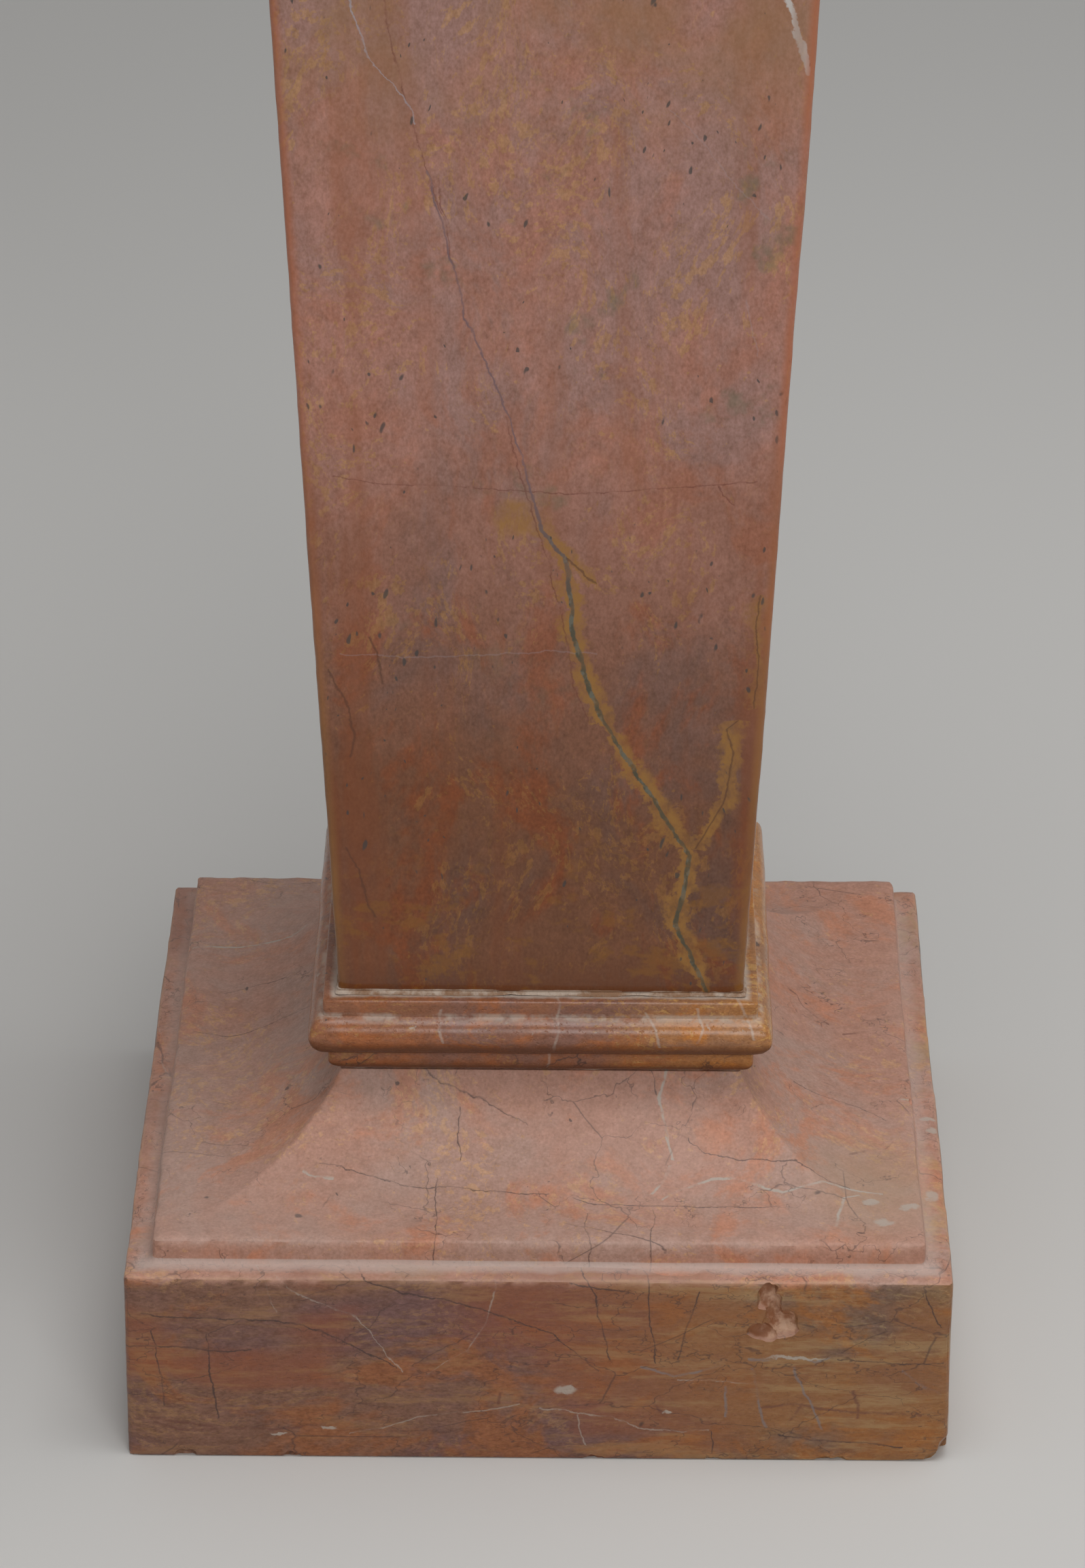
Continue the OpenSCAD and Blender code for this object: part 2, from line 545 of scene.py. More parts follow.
def drawVein(along, across, route, width, soft=0.0007):
    # the route is a list of (along, across) in millimetres; one curve node holds it
    route = sorted(route)
    acrosses = [point[1] for point in route]
    start, end = route[0][0], route[-1][0]
    low, high = min(acrosses) - 2, max(acrosses) + 2
    slope = (max(acrosses) - min(acrosses)) / (end - start)
    share = use("veinShare", Along=along, Start=start / 1000, End=end / 1000)["Share"]
    curve = addNode("ShaderNodeFloatCurve", Value=share)
    points = curve.mapping.curves[0].points
    while len(points) < len(route):
        points.new(0.5, 0.5)
    for point, (position, value) in zip(points, route):
        point.location = ((position - start) / (end - start), (value - low) / (high - low))
        point.handle_type = "VECTOR"
    curve.mapping.update()
    return use("veinLine", Across=across, Curve=curve.outputs["Value"], Low=low / 1000, High=high / 1000,
               Share=share, Slant=1 / math.sqrt(1 + slope * slope), Width=width, Soft=soft)


def climbing(vertical, horizontal, route, width, soft):
    # a vein that climbs, its route given as (across, up)
    return drawVein(vertical, horizontal, [(point[1], point[0]) for point in route], width, soft)


def drawVeins(routes, horizontal, vertical, width, soft=0.0007):
    # a route is drawn by the direction in which it runs further
    def line(route):
        runs, climbs = (max(places) - min(places) for places in zip(*route))
        if runs > 0.8 * climbs:
            return drawVein(horizontal, vertical, route, width, soft)
        return climbing(vertical, horizontal, route, width, soft)
    return reduce(largest, (line(route)["Mask"] for route in routes))


def spots(vector, centres):
    def metres(sizes):
        return tuple(size / 1000 for size in sizes)
    return reduce(largest, (use("spot", Vector=vector, Centre=metres(centre), HalfSize=metres(size),
                                Edge=0.45)["Mask"] for centre, size in centres))


def oval(across, up, centre, size, edge):
    # one soft oval on a face, whatever its depth
    return use("spot", Vector=joined(across, 0.0, up), Centre=(centre[0], 0, centre[1]),
               HalfSize=(size[0], 1, size[1]), Edge=edge)["Mask"]


def newMaterial(name):
    material = bpy.data.materials.new(name)
    material.use_nodes = True
    nodes = material.node_tree.nodes
    return material, nodes["Principled BSDF"], nodes.new("ShaderNodeTexCoord").outputs["Object"]


def facing(coords):
    # how far the surface faces up, from -1 to 1
    return split(addNode("ShaderNodeNewGeometry", coords).outputs["Normal"])[2]


def mixed(share, lows, highs):
    return [blend(share, low, high) for low, high in zip(lows, highs)]


def ground(vector, size, colours, patchAmount, fleckAmount, grain):
    main, shade, patch, fleck = colours
    return use("marbleGround", Vector=vector, Size=size, Ground=main, Shade=shade, Patch=patch, Fleck=fleck,
               PatchAmount=patchAmount, FleckAmount=fleckAmount, Grain=grain)


def finishShader(shader, colour, roughness, specular, height, relief):
    feed(shader.inputs["Base Color"], colour)
    feed(shader.inputs["Roughness"], roughness)
    shader.inputs["Specular IOR Level"].default_value = specular
    bump = addNode("ShaderNodeBump", Height=height, Distance=relief)
    feed(shader.inputs["Normal"], bump.outputs["Normal"])


# the plinth block, widths are half widths
plinth = {
    "base": 0.115,          # height up to the ledge
    "ledge": 0.015,
    "riser": 0.015,
    "margin": 0.022,        # flat band before the sweep
    "neckHalf": 0.1105,
    "arris": 0.0016,
    "cove": 0.0035,         # hollow where the riser meets the ledge
    "corner": 0.0030,
    "cuts": 128,
    "unevenBelow": 0.178,   # the joint above this height stays true
}
# broken places: where, how large, squashed by how much
plinthBreaks = [
    ((0.1245, -0.2262, 0.1055), 0.0070, (0.8, 1.0, 1.3)),       # the gouge, its upper hollow
    ((0.1325, -0.2262, 0.0880), 0.0088, (1.1, 0.9, 1.0)),       # and the lower one
    ((0.1235, -0.2264, 0.0830), 0.0078, (1.3, 0.8, 0.8)),
    ((0.1285, -0.2256, 0.0960), 0.0062, (0.7, 1.1, 1.7)),
    ((0.2300, -0.2300, -0.0040), 0.0210, (1.0, 1.0, 1.1)),      # foot of the front right corner
    ((0.2080, -0.2275, -0.0020), 0.0060, (2.2, 1.0, 0.8)),
    ((-0.1930, -0.2265, -0.0010), 0.0055, (1.3, 1.0, 1.0)),
    ((-0.1350, -0.2265, -0.0010), 0.0048, (1.2, 1.0, 1.0)),
    ((0.0300, -0.2270, -0.0015), 0.0050, (1.6, 1.0, 0.9)),
    ((0.0950, -0.2268, -0.0012), 0.0045, (1.4, 1.0, 0.9)),
    ((0.1620, -0.2270, -0.0015), 0.0060, (1.8, 1.0, 0.8)),
    ((-0.2262, -0.2262, 0.1150), 0.0050, (1.0, 1.0, 1.0)),
    ((0.2272, -0.0900, 0.1172), 0.0050, (1.0, 1.4, 1.0)),
    ((0.2275, 0.1300, 0.1175), 0.0052, (1.0, 1.3, 1.0)),
    ((-0.2272, 0.0500, 0.1172), 0.0048, (1.0, 1.5, 1.0)),
    ((-0.2270, 0.1600, -0.0020), 0.0062, (1.0, 1.6, 1.0)),
    ((0.2270, 0.0400, -0.0020), 0.0055, (1.0, 1.8, 1.0)),
    ((0.1100, 0.2275, 0.1175), 0.0055, (1.5, 1.0, 1.0)),
    ((-0.0700, 0.2275, 0.1175), 0.0048, (1.3, 1.0, 1.0)),
    ((0.2275, 0.2275, 0.0300), 0.0085, (1.0, 1.0, 2.6)),
    ((-0.2275, 0.2270, 0.0000), 0.0120, (1.0, 1.0, 0.9)),
    ((0.0200, 0.2270, -0.0010), 0.0070, (2.2, 1.0, 1.0)),
    ((0.2112, -0.0540, 0.1300), 0.0038, (1.0, 1.8, 1.0)),
    ((-0.2115, 0.1200, 0.1305), 0.0042, (1.0, 1.8, 1.0)),
]


def plinthOutline():
    low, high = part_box("plinth_block")
    half, top = high[0], high[2]
    arris, cove = plinth["arris"], plinth["cove"]
    riserHalf = half - plinth["ledge"]
    riserTop = plinth["base"] + plinth["riser"]
    sweepStart = riserHalf - plinth["margin"]
    run, rise = sweepStart - plinth["neckHalf"], top - riserTop
    sweepRadius = (run * run + rise * rise) / (2 * rise)
    sweepEnd = 180 + math.degrees(math.acos(run / sweepRadius))
    return trace((half - arris, low[2]),
                 ((half - arris, low[2] + arris), arris, -90, 0, 3),
                 ((half, plinth["base"] - arris), 0.0042),
                 ((half - arris, plinth["base"] - arris), arris, 0, 90, 3),
                 ((riserHalf + cove, plinth["base"]), 0.003),
                 ((riserHalf + cove, plinth["base"] + cove), cove, 270, 180, 4),
                 ((riserHalf, riserTop - arris), 0.003),
                 ((riserHalf - arris, riserTop - arris), arris, 0, 90, 3),
                 ((sweepStart, riserTop), 0.004),
                 ((sweepStart, riserTop + sweepRadius), sweepRadius, 270, sweepEnd, 26))


def nearArris(co, half):
    # 1 on the plinth's outer arrises and upright corners, falling off within a few millimetres
    riserHalf, riserTop = half - plinth["ledge"], plinth["base"] + plinth["riser"]
    outer = outward(co)
    onSide = abs(outer - half) < 0.001 or (abs(outer - riserHalf) < 0.001 and co.z > plinth["base"] + 0.001)
    upright = 1 - fromCorner(co) / 0.006 if onSide else 0
    ledgeEdge = 1 - max(abs(outer - half), abs(co.z - plinth["base"])) / 0.004
    riserEdge = 1 - max(abs(outer - riserHalf), abs(co.z - riserTop)) / 0.004
    return max(upright, ledgeEdge, riserEdge)


def buildPlinth():
    piece = squareStone("plinthStone", plinthOutline(), plinth["corner"], plinth["cuts"])
    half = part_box("plinth_block")[1][0]
    wear(piece, lambda co: min(co.z, plinth["unevenBelow"] - co.z) / 0.02, lambda co: nearArris(co, half),
         (0.09, 0.0022), (0.011, 0.0026))
    breakAway(piece, [rock(place, size, seed, squash)
                      for seed, (place, size, squash) in enumerate(plinthBreaks)])
    return piece


# each vein is a route in millimetres: (x, z) on the front face, (x, y) on top
frontPale = [
    [(-145, 118), (-134, 107), (-110, 95), (-99, 91), (-90, 81), (-81, 65), (-69, 53)],
    [(-149, 117), (-146, 101), (-141, 92)],
    [(-23, 117), (-24, 104), (-29, 86), (-39, 69), (-51, 62), (-64, 51)],
    [(-108, 15), (-87, 19), (-66, 27), (-40, 30), (-22, 33), (-5, 37)],
    [(-4, 34), (16, 32), (41, 27), (57, 21), (80, 18), (99, 20)],
    [(74, 52), (102, 51), (118, 49)],
    [(22, 31), (24, 18), (27, 8)],
]
frontDark = [
    [(-223, 93), (-205, 90), (-140, 88), (-119, 82), (-103, 73), (-81, 62), (-69, 53)],
    [(-101, 117), (-72, 106), (-51, 102), (-31, 96), (10, 80), (26, 62), (40, 52)],
    [(26, 119), (28, 112), (32, 105), (32, 93), (36, 79), (40, 61)],
    [(60, 119), (60, 99), (62, 83), (65, 60)],
    [(15, 113), (42, 109), (54, 106)],
    [(-229, 70), (-200, 71), (-173, 68), (-152, 70)],
    [(89, 112), (80, 85), (76, 63)],
    [(128, 18), (148, 13), (171, 12), (204, 9)],
    [(208, 111), (214, 97), (220, 85)],
    [(160, 66), (192, 63), (224, 63)],
    [(95, 20), (97, 13), (95, 3)],
    [(-210, 84), (-206, 52), (-204, 30)],
    [(-181, 82), (-177, 46), (-174, 22)],
]
frontGrey = [
    [(112, 66), (124, 65), (135, 66), (141, 67), (151, 64), (161, 67)],
    [(116, 62), (119, 44), (126, 19)],
    [(138, 63), (145, 48), (153, 30), (156, 17)],
    [(197, 60), (207, 50), (221, 42)],
    [(54, 61), (65, 58), (74, 54), (101, 61)],
    [(102, 49), (103, 38), (103, 27)],
]
frontRust = [
    [(-18, 57), (-20, 46), (-21, 35)],
    [(62, 38), (67, 32), (71, 26)],
    [(145, 38), (142, 32), (138, 25)],
    [(172, 47), (176, 37), (175, 27)],
    [(-219, 27), (-198, 23), (-171, 19), (-147, 18), (-111, 22)],
    [(-213, 23), (-192, 17), (-165, 19)],
    [(118, 34), (140, 37), (170, 32), (215, 30)],
]
topPale = [
    [(72, -106), (66, -117), (68, -126), (72, -139), (74, -146)],
    [(61, -174), (72, -165), (95, -154), (104, -154), (134, -163), (157, -155), (172, -155), (195, -158)],
    [(178, -158), (167, -166), (164, -179), (161, -194)],
    [(-211, 118), (-196, 120), (-160, 118), (-148, 115), (-136, 121)],
    [(72, -146), (68, -156), (61, -166)],
    [(-131, -151), (-124, -155), (-112, -156)],
]
topDark = [
    [(77, -129), (90, -140), (111, -143), (142, -143), (160, -153), (176, -155)],
    [(-129, -147), (-109, -149), (-71, -161), (-50, -161), (-27, -164), (12, -166)],
    [(12, -166), (32, -173), (61, -174), (137, -175)],
    [(61, -175), (63, -185), (61, -203), (60, -226)],
    [(-57, -152), (-56, -178), (-56, -201), (-58, -226)],
    [(26, -226), (28, -210), (24, -196), (27, -178)],
    [(-69, -108), (-56, -114), (-32, -119), (-4, -130)],
    [(59, -106), (62, -112), (65, -117)],
    [(140, -56), (150, -59), (165, -60), (180, -64), (197, -80)],
    [(-212, -117), (-190, -120), (-173, -125)],
    [(-188, 63), (-167, 69), (-147, 67)],
    [(-44, -120), (-45, -131), (-43, -146)],
    [(10, -190), (40, -200), (72, -212)],
    [(-205, 20), (-180, 12), (-150, 18), (-130, 12)],
]
topBrown = [
    [(140, 52), (147, 49), (151, 37), (160, 29), (167, 27)],
    [(172, 19), (185, 24), (196, 20)],
    [(170, -118), (182, -110), (192, -108), (198, -98)],
]
whiteSpots = [
    ((140, -225, 66), (20, 9, 1.4)), ((16, -225, 46), (7, 9, 3.6)), ((-115, -225, 19), (6, 5, 1.3)),
    ((-142, -225, 15), (5, 5, 1.4)), ((71, -225, 31), (3, 5, 1.4)), ((189, -186, 130), (7, 5, 6)),
    ((202, -171, 130), (6, 4, 6)),
    ((181, -167, 130), (5, 4, 6)), ((206, -54, 130), (5, 1.5, 4)), ((219, -50, 115), (6, 3, 4)),
    ((221, -62, 115), (4, 4, 4)), ((217, -134, 115), (5, 8, 4)), ((-148, 116, 134), (8, 1.6, 8)),
]
plinthLook = {
    "front": [tone(130, 92, 74), tone(118, 84, 78), tone(148, 92, 58), tone(166, 124, 82)],
    "frontRight": [tone(142, 110, 78), tone(120, 92, 76), tone(158, 100, 50), tone(178, 150, 106)],
    # paler top colours: partly the honed, dusty top of the stone, partly painted light from above
    "top": [tone(186, 138, 118), tone(180, 142, 126), tone(196, 130, 98), tone(206, 158, 112)],
    "redPatch": tone(146, 82, 54),
    "olive": tone(170, 140, 104),
    "pale": tone(186, 176, 164),
    "dark": tone(74, 56, 52),
    "grey": tone(128, 124, 126),
    "rust": tone(110, 68, 56),
    "dust": tone(198, 182, 174),
    "freshStone": tone(204, 164, 136),
}


def makePlinthMarble():
    material, shader, coords = newMaterial("plinthMarble")
    look = plinthLook
    x, y, z = split(coords)
    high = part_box("plinth_block")[1]
    plan = use("squarePlan", Vector=coords)
    upward = between(facing(coords), 0.05, 0.55)
    onTop = calc("GREATER_THAN", z, plinth["base"] + 0.0005)
    onSide = minus(1.0, onTop)
    # the sides are bedded: their pattern is drawn out level
    bedding = plus(0.70, times(onTop, 0.30))
    rising = minus(1.5, times(onTop, 0.5))
    bedded = vectorCalc("MULTIPLY", coords, joined(bedding, bedding, rising))
    slow = cloud(bedded, 8.0, 3.0)
    fine = cloud(coords, 60.0, 4.0, 0.65)
    rightward = between(plus(x, times(slow, 0.22)), 0.10, 0.30)
    sides = mixed(rightward, look["front"], look["frontRight"])
    # the upper stone and the upward faces take the paler top colours: partly honed, dusty stone, partly
    # painted light from above
    topShare = largest(upward, onTop)
    colour = ground(bedded, 1.05, mixed(topShare, sides, look["top"]), timesPlus(topShare, -0.15, 0.95),
                    timesPlus(topShare, 0.18, 0.34), timesPlus(topShare, -0.30, 0.78))["Color"]
    # broad soft red patches on the sides
    redSpot = oval(timesPlus(slow, 0.12, x), z, (0.062, 0.092), (0.085, 0.034), 0.6)
    redShare = largest(between(slow, 0.50, 0.58, 0.0, 0.55), times(redSpot, 0.6))
    colour = blend(times(redShare, onSide), colour,
                   blend(rightward, look["redPatch"], look["frontRight"][2]))
    layers = cloud(stretched(coords, (3.5, 3.5, 30)), 3.5, 5.0, 0.78)
    bands = times(between(layers, 0.50, 0.64, 0.0, 0.42), onSide)
    thinBand = times(between(absolute(minus(layers, 0.46)), 0.0, 0.006, 0.5, 0.0), onSide)
    colour = blend(bands, colour, blend(rightward, look["front"][3], look["frontRight"][3]))
    colour = blend(thinBand, colour, look["dark"])
    oliveSpot = oval(x, y, (0.185, -0.150), (0.055, 0.075), 0.9)
    colour = blend(times(oliveSpot, onTop, 0.45), colour, look["olive"])
    # veins and cracks
    wobble = times(minus(fine, 0.5), 0.006)
    depth = plus(y, high[1])
    frontX = plus(x, times(depth, 0.3), wobble)
    frontZ = plus(z, wobble)
    planX, planY = plus(x, wobble), plus(y, wobble)
    darkNet = use("crackNet", Vector=bedded, Scale=24.0, Width=0.014,
                  Amount=between(onTop, 0.0, 1.0, 0.92, 0.62), Seed=(3, 1, 2))["Mask"]

    def onFront(routes, width, soft):
        return times(drawVeins(routes, frontX, frontZ, width, soft), onSide)

    def above(routes, width, soft):
        return times(drawVeins(routes, planX, planY, width, soft), onTop)

    pale = largest(onFront(frontPale, 0.0, 0.0007), above(topPale, 0.0003, 0.0009))
    dark = largest(onFront(frontDark, 0.0001, 0.0006), above(topDark, 0.0, 0.0006))
    grey = onFront(frontGrey, 0.0002, 0.0010)
    rust = largest(onFront(frontRust, 0.0001, 0.0013), above(topBrown, 0.0003, 0.0010))
    fade = between(fine, 0.40, 0.56, 0.15, 1.0)
    colour = blend(times(rust, fade, 0.65), colour, look["rust"])
    colour = blend(times(grey, fade, 0.60), colour, look["grey"])
    paleShare = times(pale, fade, timesPlus(onTop, 0.42, 0.50))
    colour = blend(paleShare, colour, look["pale"])
    colour = blend(times(darkNet, 0.60), colour, look["dark"])
    darkFade = times(dark, timesPlus(fade, 0.5, 0.35))
    colour = blend(darkFade, colour, look["dark"])
    wide = times(wobble, 2.2)
    wobbled = vectorCalc("ADD", coords, joined(wide, wide, wide))
    colour = blend(times(spots(wobbled, whiteSpots), 0.72), colour, look["pale"])
    specks = use("specks", Vector=coords, Scale=95.0, Amount=0.10)["Mask"]
    colour = blend(times(specks, 0.8), colour, look["dark"])
    # dust lies in the corner of the ledge, thickest in front, and its edge is rubbed clean
    fromLedge = absolute(minus(z, plinth["base"]))
    onLedge = calc("LESS_THAN", fromLedge, 0.0028)
    inward = between(plus(plan["Outer"], times(fine, 0.010)), 0.2185, 0.2270, 1.0, 0.0)
    dustShare = between(y, -0.209, -0.200, 0.62, 0.34)
    dust = times(inward, onLedge, dustShare)
    film = times(upward, between(slow, 0.35, 0.7, 0.02, 0.22))
    colour = blend(largest(dust, film), colour, look["dust"])
    nearEdge = between(minus(high[0], plan["Outer"]), 0.0, 0.0028, 1.0, 0.0)
    rubbedAndHighlit = times(nearEdge, between(fromLedge, 0.0, 0.0030, 1.0, 0.0), between(fine, 0.38, 0.58, 0.1, 0.7))
    colour = blend(rubbedAndHighlit, colour, tone(200, 160, 130))
    # fresh stone shows in the gouge, below the face
    belowEdge = calc("LESS_THAN", z, plinth["base"] - 0.0015)
    nearGouge = oval(x, z, (0.127, 0.095), (0.024, 0.030), 0.3)
    fresh = times(nearGouge, between(depth, 0.0012, 0.0028), belowEdge, calc("LESS_THAN", depth, 0.02))
    broken = blend(between(fine, 0.42, 0.60), look["freshStone"], tone(150, 98, 66))
    # darker deeper in the gouge: painted shade in its hollows
    broken = blend(between(depth, 0.006, 0.012, 0.0, 0.7), broken, tone(104, 70, 54))
    colour = blend(fresh, colour, broken)
    grain = use("surfaceGrain", Vector=coords, Pits=1.0, Scratches=0.35)
    roughness = plus(between(upward, 0.0, 1.0, 0.36, 0.56), times(minus(fine, 0.5), 0.4), times(dust, 0.3))
    finishShader(shader, colour, roughness, 0.38, grain["Height"], 0.00016)
    return material


plinthStone = buildPlinth()
finishStone(plinthStone, "plinth_block", 32)
plinthStone.data.materials.append(makePlinthMarble())
print("the plinth is finished")


# the two moulding stones, the head one is the foot one turned over
moulding = {
    "outer": 0.013,         # height of the outer fillet
    "round": 0.007,         # its rounded edge
    "torus": 0.012,         # radius of the torus
    "outerOut": 0.006,      # how far each member stands out from the shaft
    "torusOut": 0.016,
    "filletOut": 0.008,
    "soft": 0.0012,         # rounding of the fillet's arrises
    "corner": 0.0022,
    "cuts": 72,
}


def mouldingOutline(node, turnedOver):
    low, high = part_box(node)
    shaftHalf = high[0] - moulding["torusOut"]
    soft, torus = moulding["soft"], moulding["torus"]
    outerHalf = shaftHalf + moulding["outerOut"]
    filletHalf = shaftHalf + moulding["filletOut"]
    torusX = shaftHalf + moulding["torusOut"] - torus
    height = high[2] - low[2]
    torusTop = moulding["outer"] + 2 * torus
    groove = (filletHalf - torusX) / torus
    rows = trace((outerHalf - moulding["round"], 0),
                 ((outerHalf - moulding["round"], moulding["round"]), moulding["round"], -90, 0, 6),
                 ((outerHalf, moulding["outer"] - 0.0002), 0.002),
                 ((torusX, moulding["outer"] + torus), torus, -76, math.degrees(math.acos(groove)), 20),
                 ((filletHalf, torusTop + 0.0006), 0.002),
                 ((filletHalf, height - soft), 0.002),
                 ((filletHalf - soft, height - soft), soft, 0, 90, 3),
                 ((shaftHalf - 0.004, height), 0.003))
    if turnedOver:
        return [(half, high[2] - z) for half, z in reversed(rows)]
    return [(half, low[2] + z) for half, z in rows]


def buildMoulding(name, node, turnedOver):
    piece = squareStone(name, mouldingOutline(node, turnedOver), moulding["corner"], moulding["cuts"])
    low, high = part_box(node)
    wear(piece, lambda co: min(co.z - low[2], high[2] - co.z) / 0.004,
         lambda co: 1 - fromCorner(co) / 0.008, (0.05, 0.0012), (0.009, 0.0016), 0.9)
    finishStone(piece, node, 40)
    return piece


mouldingVeins = [
    [(13, 240), (12, 222), (8, 205), (7, 182)],
    [(59, 223), (64, 214), (66, 203)],
    [(88, 226), (90, 215), (85, 206)],
    [(108, 236), (113, 224), (117, 214), (118, 208)],
    [(-52, 224), (-55, 214), (-53, 205)],
]
mouldingLook = {
    "left": [tone(150, 96, 66), tone(138, 96, 80), tone(168, 98, 52), tone(166, 118, 70)],
    "right": [tone(178, 120, 64), tone(162, 114, 78), tone(188, 118, 48), tone(202, 154, 88)],
    "pale": tone(196, 184, 172),
    "plaster": tone(206, 196, 184),
    "dark": tone(62, 50, 50),
    # painted shade for the undersides
    "grime": tone(80, 49, 31),
}


def makeMouldingMarble(name, node, turnedOver):
    material, shader, coords = newMaterial(name)
    look = mouldingLook
    low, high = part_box(node)
    shaftHalf = high[0] - moulding["torusOut"]
    x, y, z = split(coords)
    # height within the stone, counted from its outer fillet
    rise = minus(high[2], z) if turnedOver else minus(z, low[2])
    plan = use("squarePlan", Vector=coords)
    smear = cloud(coords, 46.0, 4.0, 0.7)
    rightward = between(plus(x, times(smear, 0.08)), 0.06, 0.14)
    colours = mixed(rightward, look["left"], look["right"])
    body = ground(stretched(coords, (0.8, 0.8, 1.4)), 1.5, colours, 0.85, 0.7, 0.7)
    wobble = times(minus(smear, 0.5), 0.005)
    depth = plus(y, high[1])
    veinX = plus(x, times(depth, 0.25), wobble)
    veinZ = plus(rise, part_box("foot_moulding")[0][2])
    veins = times(drawVeins(mouldingVeins, veinX, veinZ, 0.0002, 0.0010),
                  between(smear, 0.40, 0.56, 0.3, 1.0))
    colour = blend(times(veins, 0.42), body["Color"], look["pale"])
    net = use("crackNet", Vector=coords, Scale=26.0, Width=0.018, Amount=0.35, Seed=(4, 4, 1))["Mask"]
    specks = use("specks", Vector=coords, Scale=80.0, Amount=0.22)["Mask"]
    colour = blend(times(largest(net, specks), 0.75), colour, look["dark"])
    # plaster is left in the groove over the torus, on the fillet round the shaft and in smears
    torusTop = moulding["outer"] + 2 * moulding["torus"]
    groove = between(absolute(minus(rise, torusTop - 0.0004)), 0.0006, 0.0028, 1.0, 0.0)
    groove = times(groove, between(smear, 0.44, 0.60, 0.05, 0.8))
    filletTop = times(calc("GREATER_THAN", rise, high[2] - low[2] - 0.0008),
                      between(plus(plan["Outer"], times(smear, 0.008)), shaftHalf + 0.0050,
                              shaftHalf + 0.0090, 1.0, 0.0))
    dabs = times(between(cloud(coords, 150.0, 3.0, 0.65), 0.64, 0.70),
                 between(absolute(minus(rise, torusTop - 0.005)), 0.001, 0.006, 0.8, 0.0))
    residue = largest(groove, filletTop, dabs)
    colour = blend(times(residue, 0.65), colour, look["plaster"])
    # the undersides are darkened: painted shade under the mouldings
    colour = blend(between(facing(coords), -0.62, 0.15, 0.85, 0.0), colour, look["grime"])
    grain = use("surfaceGrain", Vector=coords, Pits=1.0, Scratches=0.2)
    roughness = plus(0.24, times(residue, 0.55), times(minus(smear, 0.5), 0.25))
    finishShader(shader, colour, roughness, 0.45, grain["Height"], 0.00018)
    return material


for name, node, turnedOver in (("footMoulding", "foot_moulding", False),
                               ("headMoulding", "head_moulding", True)):
    stone = buildMoulding(name + "Stone", node, turnedOver)
    stone.data.materials.append(makeMouldingMarble(name + "Marble", node, turnedOver))
print("the moulding stones are finished")


# the shaft
shaft = {
    "arris": 0.0012,
    "corner": 0.0026,
    "cuts": 34,
    "spacing": 0.0075,
}


def buildShaft():
    low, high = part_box("shaft")
    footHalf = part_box("foot_moulding")[1][0] - moulding["torusOut"]
    arris = shaft["arris"]
    rows = trace((footHalf - arris, low[2]),
                 ((footHalf - arris, low[2] + arris), arris, -90, 0, 3),
                 ((high[0], high[2] - arris), shaft["spacing"]),
                 ((high[0] - arris, high[2] - arris), arris, 0, 90, 3))
    piece = squareStone("shaftStone", rows, shaft["corner"], shaft["cuts"])
    wear(piece, lambda co: min(co.z - low[2], high[2] - co.z) / 0.01,
         lambda co: 1 - fromCorner(co) / 0.007, (0.16, 0.0012), (0.014, 0.0016))
    finishStone(piece, "shaft", 32)
    return piece


# routes on the shaft's front face, (x, z) in millimetres
mainVein = [
    (-66, 745), (-64, 735), (-56, 707), (-47, 670), (-40, 637), (-25, 602), (-16, 576), (-7, 542),
    (0, 515), (12, 499), (15, 476), (17, 451), (23, 428), (32, 401), (45, 378), (59, 355),
    (69, 336), (80, 317), (78, 297), (73, 273), (81, 256), (90, 232), (101, 205),
]
upperVein = [(-62, 728), (-66, 748), (-71, 760), (-89, 780), (-92, 793), (-98, 815), (-118, 880),
             (-122, 960), (-133, 1070)]
sideBranch = [(80, 317), (83, 321), (98, 350), (103, 380), (99, 396), (108, 404), (116, 405)]
edgeBranch = [(112, 404), (115, 430), (113, 455), (115, 480)]
sideSpur = [(12, 499), (20, 491), (29, 482)]
redLines = [
    [(-81, 830), (-79, 800), (-73, 772), (-68, 750), (-60, 722), (-50, 690), (-44, 655)],
    [(-22, 590), (-12, 550), (-1, 511), (12, 458), (17, 421), (29, 390)],
    [(92, 542), (96, 535), (101, 529)],
    [(-54, 716), (-52, 700), (-49, 690)],
    [(-121, 548), (-84, 541), (-35, 539), (22, 536), (71, 540), (124, 545)],
]
paleLines = [
    [(-115, 440), (-64, 438), (1, 442), (37, 441)],
    [(61, 756), (79, 738), (96, 714), (118, 690)],
    [(104, 650), (107, 634), (112, 615)],
]
brownLines = [
    [(-107, 323), (-99, 306), (-96, 289), (-89, 274)],
    [(-115, 433), (-105, 412), (-100, 391), (-103, 374)],
    [(-92, 452), (-87, 436), (-84, 420)],
]
wedge = [(114, 860), (121, 817), (124, 807), (128, 793), (132, 780), (134, 768)]
shaftLook = {
    "high": [tone(172, 122, 106), tone(162, 122, 111), tone(174, 108, 80), tone(184, 138, 90)],
    "low": [tone(120, 76, 50), tone(108, 74, 58), tone(132, 68, 30), tone(146, 100, 50)],
    "foot": tone(108, 58, 24),
    "footOchre": tone(140, 92, 34),
    "topBrown": tone(150, 112, 72),
    "streak": tone(152, 92, 60),
    "veinCore": tone(76, 76, 60),
    "veinPale": tone(168, 156, 160),
    "veinLilac": tone(124, 96, 98),
    "halo": tone(158, 112, 52),
    "red": tone(112, 58, 46),
    "brown": tone(84, 52, 36),
    "speck": tone(58, 62, 62),
    "green": tone(110, 108, 84),
    "white": tone(204, 200, 196),
    "arris": tone(176, 104, 70),
}


